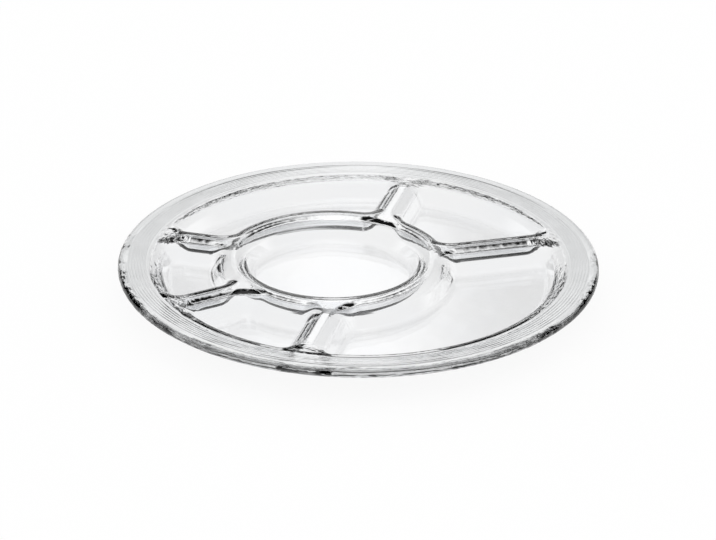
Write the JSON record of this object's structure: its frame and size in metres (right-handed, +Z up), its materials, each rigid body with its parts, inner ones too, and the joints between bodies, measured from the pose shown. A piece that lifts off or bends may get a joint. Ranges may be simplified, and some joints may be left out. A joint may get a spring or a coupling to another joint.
{
  "type": "fondue plate",
  "caption": "Round clear glass fondue plate with an off-centre sauce well, dishes of several sizes round it, rounded dividers and a wide border with fine pressed rings.",
  "frame": {"origin": "centre of the outer edge, on the plane of the flat undersides that the plate stands on", "axes": "+Z up, out of the dishes; the well lies off centre towards -X; +Y away from the viewer"},
  "size_m": [0.24, 0.24, 0.0162],
  "materials": {
    "clear_glass": "clear pressed soda-lime glass, fire-polished, with fine rings on the border"
  },
  "bodies": {
    "root": {"glass_plate": "clear_glass"}
  },
  "joints": []
}
